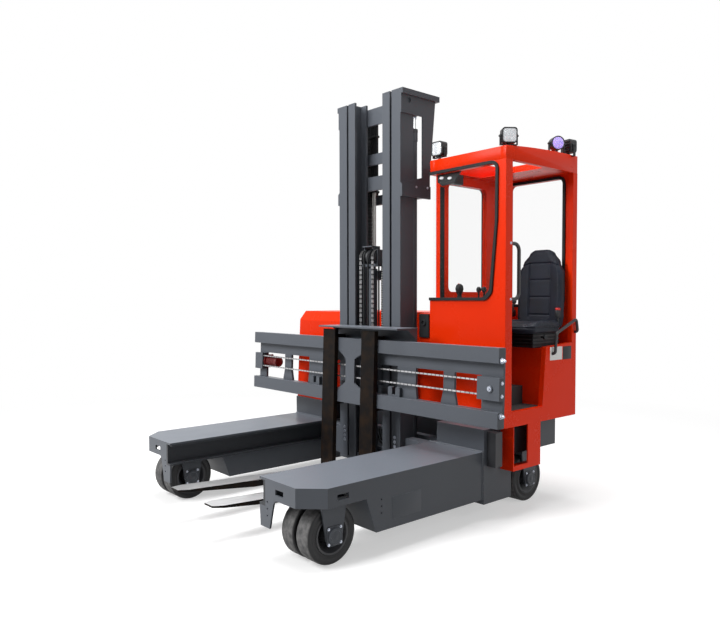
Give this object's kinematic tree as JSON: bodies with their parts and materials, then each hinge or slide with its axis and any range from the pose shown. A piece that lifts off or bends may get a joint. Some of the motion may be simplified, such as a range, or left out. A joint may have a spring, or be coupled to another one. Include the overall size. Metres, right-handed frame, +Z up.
{
  "type": "multidirectional forklift",
  "caption": "Reach truck with four-way steering: load legs on steered wheels, a mast that reaches out, a wide beam with a fork positioner, and a side cab.",
  "frame": {"origin": "on the floor, under the middle of the whole truck's box", "axes": "+Z up, the forks point along -Y, the cab is on the +X side"},
  "size_m": [2.838, 2.616, 3.1369],
  "materials": {
    "body_paint": "bright orange-red gloss paint",
    "steel_paint": "anthracite grey satin paint",
    "fork_steel": "dark coated forged steel, bare on the blades' tops",
    "chrome_rod": "ground chrome",
    "bright_steel": "oiled steel",
    "black_metal": "black satin paint",
    "black_plastic": "moulded black plastic",
    "seal_rubber": "black window rubber",
    "tyre": "solid rubber tyre",
    "glass": "clear safety glass",
    "seat_cover": "black seat cover",
    "floor_mat": "ribbed rubber mat",
    "lamp_glass": "lamp lens",
    "rim_paint": "dark wheel paint"
  },
  "bodies": {
    "truck": {"chassis": "steel_paint", "leg_left": "steel_paint", "leg_right": "steel_paint", "hood": "body_paint", "power_block": "black_metal", "socket_panel": "black_plastic", "side_locker": "black_metal", "step_box": "body_paint", "cab_front_panel": "body_paint", "cab_inner_side": "body_paint", "cab_rear_panel": "body_paint", "cab_door_side": "body_paint", "cab_roof": "body_paint", "cab_floor": "floor_mat", "seat_platform": "body_paint", "window_glass": "glass", "window_seals": "seal_rubber", "seat_base": "black_plastic", "seat_cushion": "seat_cover", "seat_back": "seat_cover", "cab_bars": "black_metal", "console": "black_plastic", "ceiling_panel": "black_plastic", "lamp_bodies": "black_metal", "lamp_lenses": "lamp_glass"},
    "reach": {"reach_carriage": "steel_paint", "outer_mast": "steel_paint", "outer_mast_frame": "steel_paint", "lift_tubes": "steel_paint"},
    "inner_stage": {"inner_mast": "steel_paint", "inner_mast_bars": "steel_paint", "lift_rods": "chrome_rod", "free_tube": "steel_paint", "strands_rear": "bright_steel"},
    "free_head": {"crosshead": "steel_paint", "sheaves": "bright_steel", "strands_front": "bright_steel"},
    "carriage": {"lift_carriage": "steel_paint"},
    "beam": {"beam_rails": "steel_paint", "fork_beam": "steel_paint", "positioner": "steel_paint", "positioner_chains": "bright_steel"},
    "left_fork": {"fork_left": "fork_steel"},
    "right_fork": {"fork_right": "fork_steel"},
    "front_left_steer": {"front_yoke_left": "steel_paint"},
    "front_left_wheel": {"front_hub_left": "rim_paint", "front_tyres_left": "tyre"},
    "rear_left_steer": {"rear_yoke_left": "steel_paint"},
    "rear_left_wheel": {"rear_hub_left": "rim_paint", "rear_tyre_left": "tyre"},
    "front_right_steer": {"front_yoke_right": "steel_paint"},
    "front_right_wheel": {"front_hub_right": "rim_paint", "front_tyres_right": "tyre"},
    "rear_right_steer": {"rear_yoke_right": "steel_paint"},
    "rear_right_wheel": {"rear_hub_right": "rim_paint", "rear_tyre_right": "tyre"}
  },
  "joints": [
    {"name": "reach_out", "type": "slide", "parent": "truck", "child": "reach", "axis": [0, -1, 0], "range_m": [0, 1.15]},
    {"name": "mast_lift", "type": "slide", "parent": "reach", "child": "inner_stage", "axis": [0, 0, 1], "range_m": [0, 2.15]},
    {"name": "free_lift", "type": "slide", "parent": "inner_stage", "child": "carriage", "axis": [0, 0, 1], "range_m": [0, 1.75]},
    {"name": "head_lift", "type": "slide", "parent": "inner_stage", "child": "free_head", "axis": [0, 0, 1], "range_m": [0, 0.875], "deforming": ["strands_front", "strands_rear"]},
    {"name": "fork_tilt", "type": "hinge", "parent": "carriage", "child": "beam", "pos_m": [0, 0.178, 0.77], "axis": [-1, 0, 0], "range_deg": [-4.8, 3.2]},
    {"name": "left_fork_spread", "type": "slide", "parent": "beam", "child": "left_fork", "axis": [-1, 0, 0], "range_m": [-0.11, 0.265]},
    {"name": "right_fork_spread", "type": "slide", "parent": "beam", "child": "right_fork", "axis": [1, 0, 0], "range_m": [-0.11, 0.265]},
    {"name": "front_left_steering", "type": "hinge", "parent": "truck", "child": "front_left_steer", "pos_m": [-0.8735, -0.935, 0.4], "axis": [0, 0, 1], "range_deg": [-95, 95]},
    {"name": "front_left_roll", "type": "hinge", "parent": "front_left_steer", "child": "front_left_wheel", "pos_m": [-0.8735, -0.935, 0.178], "axis": [1, 0, 0], "continuous": true},
    {"name": "rear_left_steering", "type": "hinge", "parent": "truck", "child": "rear_left_steer", "pos_m": [-0.936, 0.971, 0.4], "axis": [0, 0, 1], "range_deg": [-95, 95]},
    {"name": "rear_left_roll", "type": "hinge", "parent": "rear_left_steer", "child": "rear_left_wheel", "pos_m": [-0.936, 0.971, 0.178], "axis": [1, 0, 0], "continuous": true},
    {"name": "front_right_steering", "type": "hinge", "parent": "truck", "child": "front_right_steer", "pos_m": [0.8735, -0.935, 0.4], "axis": [0, 0, 1], "range_deg": [-95, 95]},
    {"name": "front_right_roll", "type": "hinge", "parent": "front_right_steer", "child": "front_right_wheel", "pos_m": [0.8735, -0.935, 0.178], "axis": [1, 0, 0], "continuous": true},
    {"name": "rear_right_steering", "type": "hinge", "parent": "truck", "child": "rear_right_steer", "pos_m": [0.936, 0.971, 0.4], "axis": [0, 0, 1], "range_deg": [-95, 95]},
    {"name": "rear_right_roll", "type": "hinge", "parent": "rear_right_steer", "child": "rear_right_wheel", "pos_m": [0.936, 0.971, 0.178], "axis": [1, 0, 0], "continuous": true}
  ],
  "couplings": [
    {"joint": "head_lift", "follows": "free_lift", "ratio": 0.5},
    {"joint": "right_fork_spread", "follows": "left_fork_spread", "ratio": 1}
  ]
}
